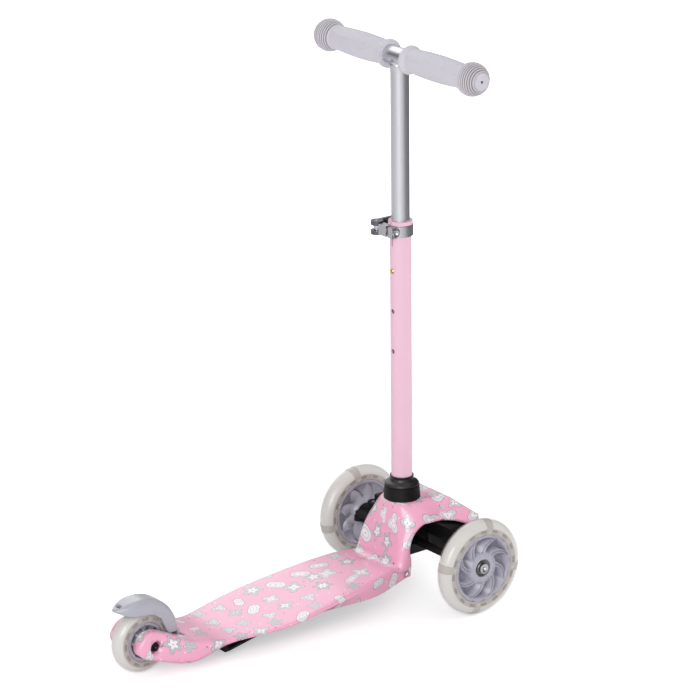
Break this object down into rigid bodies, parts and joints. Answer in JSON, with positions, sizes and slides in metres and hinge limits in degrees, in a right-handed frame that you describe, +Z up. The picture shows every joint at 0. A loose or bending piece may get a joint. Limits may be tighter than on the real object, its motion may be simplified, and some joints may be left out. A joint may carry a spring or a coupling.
{
  "type": "kick scooter",
  "caption": "Child's lean-to-steer kick scooter: moulded deck, paired front wheels, small rear wheel with fender brake, and a clamped height-adjustable T-bar.",
  "frame": {"origin": "on the floor, on the centre plane, midway between the foremost and the rearmost points of the tyres", "axes": "+X forward, +Y to the rider's left, +Z up"},
  "size_m": [0.508, 0.2972, 0.6847],
  "materials": {
    "deck_print": "gloss moulded plastic with a small printed pattern on pink",
    "black_plastic": "moulded, fine satin grain",
    "black_rubber": "moulded rubber, satin",
    "zinc_steel": "bright zinc plate",
    "bearing_steel": "ground steel",
    "pink_enamel": "satin powder coat",
    "satin_aluminium": "satin anodised",
    "dark_chrome": "dark bright plate",
    "brass": "turned",
    "grip_rubber": "soft pale grey rubber with ring grooves",
    "hub_plastic": "satin lavender-grey plastic",
    "clear_tyre": "translucent cast polyurethane",
    "led_clear": "clear light module",
    "fender_plastic": "satin pale grey plastic"
  },
  "bodies": {
    "deck": {"deck_shell": "deck_print", "under_tray": "black_plastic", "tray_screws": "zinc_steel", "front_carrier": "black_plastic", "carrier_screws": "zinc_steel", "kingpins": "zinc_steel", "lean_pivot_pin": "zinc_steel", "lean_bumpers": "black_rubber", "collar_ring": "black_plastic", "rear_axle_bolt": "zinc_steel", "rear_axle_nut": "zinc_steel", "rear_axle_spacers": "zinc_steel", "brake_hinge_pin": "zinc_steel", "brake_return_rubber": "black_rubber"},
    "stem": {"steering_column": "black_plastic", "stem_tube": "pink_enamel", "stem_lock_pin": "zinc_steel", "stem_boot": "black_rubber", "clamp_collar": "satin_aluminium", "clamp_bolt": "zinc_steel", "clamp_saddle": "satin_aluminium", "lever_pin": "zinc_steel"},
    "handlebar": {"t_bar": "satin_aluminium", "foot_bush": "black_plastic", "snap_spring": "zinc_steel", "left_grip": "grip_rubber", "right_grip": "grip_rubber"},
    "height_button": {"snap_button": "brass"},
    "clamp_handle": {"clamp_lever": "dark_chrome"},
    "left_steering": {"left_knuckle": "black_plastic", "left_axle_bolt": "zinc_steel"},
    "right_steering": {"right_knuckle": "black_plastic", "right_axle_bolt": "zinc_steel"},
    "track_link": {"tie_rod": "black_plastic"},
    "left_wheel": {"left_wheel_hub": "hub_plastic", "left_wheel_tyre": "clear_tyre", "left_wheel_led_modules": "led_clear", "left_wheel_bearings": "bearing_steel", "left_wheel_magnet_core": "bearing_steel"},
    "right_wheel": {"right_wheel_hub": "hub_plastic", "right_wheel_tyre": "clear_tyre", "right_wheel_led_modules": "led_clear", "right_wheel_bearings": "bearing_steel", "right_wheel_magnet_core": "bearing_steel"},
    "rear_wheel": {"rear_wheel_hub": "hub_plastic", "rear_wheel_tyre": "clear_tyre", "rear_wheel_bearings": "bearing_steel", "rear_wheel_spacer": "bearing_steel"},
    "brake": {"brake_fender": "fender_plastic", "brake_pad": "zinc_steel"}
  },
  "joints": [
    {"name": "lean", "type": "hinge", "parent": "deck", "child": "stem", "pos_m": [0.17, 0, 0.098], "axis": [1, 0, 0], "range_deg": [-10, 10], "stiffness_Nm_per_rad": 30, "deforming": ["stem_boot", "lean_bumpers"]},
    {"name": "bar_height", "type": "slide", "parent": "stem", "child": "handlebar", "axis": [0, 0, 1], "range_m": [-0.1, 0], "deforming": ["snap_button"]},
    {"name": "button_press", "type": "slide", "parent": "handlebar", "child": "height_button", "axis": [1, 0, 0], "range_m": [0, 0.004], "stiffness_N_per_m": 800, "springref_m": -0.002, "deforming": ["snap_spring"]},
    {"name": "lever_swing", "type": "hinge", "parent": "stem", "child": "clamp_handle", "pos_m": [0.1538, 0.024, 0.457], "axis": [0, 0, 1], "range_deg": [0, 150]},
    {"name": "left_steer", "type": "hinge", "parent": "deck", "child": "left_steering", "pos_m": [0.194, 0.084, 0.06], "axis": [0, 0, 1], "range_deg": [-8.2, 8.2]},
    {"name": "right_steer", "type": "hinge", "parent": "deck", "child": "right_steering", "pos_m": [0.194, -0.084, 0.06], "axis": [0, 0, 1], "range_deg": [-8.2, 8.2]},
    {"name": "link_shift", "type": "slide", "parent": "deck", "child": "track_link", "axis": [0, 1, 0], "range_m": [-0.0035, 0.0035]},
    {"name": "left_wheel_spin", "type": "hinge", "parent": "left_steering", "child": "left_wheel", "pos_m": [0.194, 0.115, 0.06], "axis": [0, 1, 0], "continuous": true},
    {"name": "right_wheel_spin", "type": "hinge", "parent": "right_steering", "child": "right_wheel", "pos_m": [0.194, -0.115, 0.06], "axis": [0, 1, 0], "continuous": true},
    {"name": "rear_wheel_spin", "type": "hinge", "parent": "deck", "child": "rear_wheel", "pos_m": [-0.214, 0, 0.04], "axis": [0, 1, 0], "continuous": true},
    {"name": "brake_press", "type": "hinge", "parent": "deck", "child": "brake", "pos_m": [-0.15, 0, 0.022], "axis": [0, -1, 0], "range_deg": [0, 4], "stiffness_Nm_per_rad": 12, "springref_deg": -1.72, "deforming": ["brake_return_rubber"]}
  ],
  "couplings": [
    {"joint": "left_steer", "follows": "lean", "ratio": -0.8125},
    {"joint": "right_steer", "follows": "lean", "ratio": -0.8125},
    {"joint": "link_shift", "follows": "lean", "m_per_rad": 0.0195}
  ]
}
